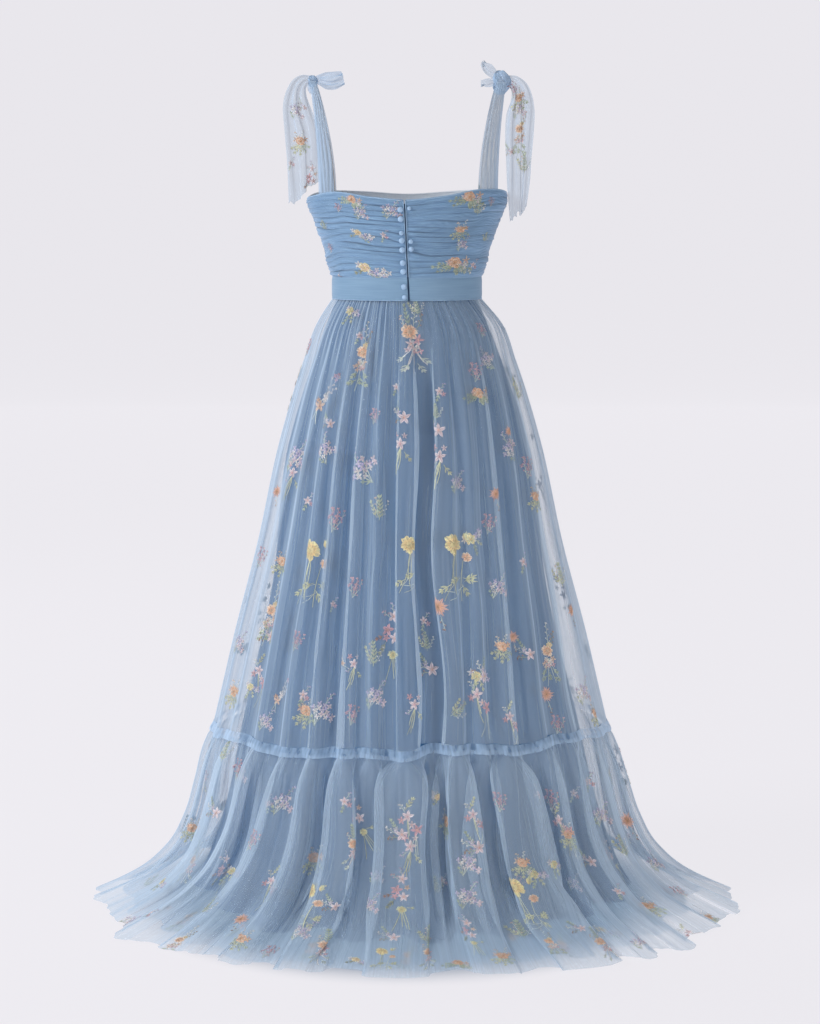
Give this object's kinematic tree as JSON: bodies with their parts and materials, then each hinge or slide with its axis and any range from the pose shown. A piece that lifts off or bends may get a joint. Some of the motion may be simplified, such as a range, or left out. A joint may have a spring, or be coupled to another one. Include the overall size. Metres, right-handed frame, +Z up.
{
  "type": "floor-length tulle gown",
  "caption": "Floor-length gown of sheer embroidered tulle in two gathered tiers over an opaque underskirt, with a ruched bodice, back opening and shoulder ties, open and hollow as worn.",
  "frame": {"origin": "centre of the waist, level with the lower edge of the waistband, where the wearer holds the gown", "axes": "+Z up, -Y the back of the gown with its buttoned opening, +X the right side as seen from the back"},
  "size_m": [1.14, 1.1169, 1.4647],
  "materials": {
    "skirt_tulle": "sheer soft net with a faint sheen",
    "tie_tulle": "sheer soft net, gathered",
    "ruched_tulle": "net ruched in pleats over a backing",
    "waistband": "net laid flat over a backing",
    "tier_band": "doubled net, narrow",
    "underskirt": "opaque satin, soft sheen",
    "covered_button": "satin drawn over a dome",
    "button_stand": "matt, in shade"
  },
  "bodies": {
    "root": {"bodice_back_left": "ruched_tulle", "bodice_back_right": "ruched_tulle", "bodice_front": "ruched_tulle", "waistband_back_left": "waistband", "waistband_back_right": "waistband", "waistband_front": "waistband", "button_stand": "button_stand", "button_left_1": "covered_button", "button_left_2": "covered_button", "button_left_3": "covered_button", "button_left_4": "covered_button", "button_left_5": "covered_button", "button_left_6": "covered_button", "button_left_7": "covered_button", "button_left_8": "covered_button", "button_left_9": "covered_button", "button_right_1": "covered_button", "button_right_2": "covered_button", "button_right_3": "covered_button", "strap_back_left": "tie_tulle", "strap_back_right": "tie_tulle", "strap_front_left": "tie_tulle", "strap_front_right": "tie_tulle", "knot_left": "tie_tulle", "knot_right": "tie_tulle", "tie_tail_left": "tie_tulle", "tie_tail_right": "tie_tulle", "tie_end_left": "tie_tulle", "tie_end_right": "tie_tulle", "skirt_back": "skirt_tulle", "skirt_front": "skirt_tulle", "ruffle_back": "skirt_tulle", "ruffle_front": "skirt_tulle", "tier_band_back": "tier_band", "tier_band_front": "tier_band", "lining_back": "underskirt", "lining_front": "underskirt"}
  },
  "joints": []
}
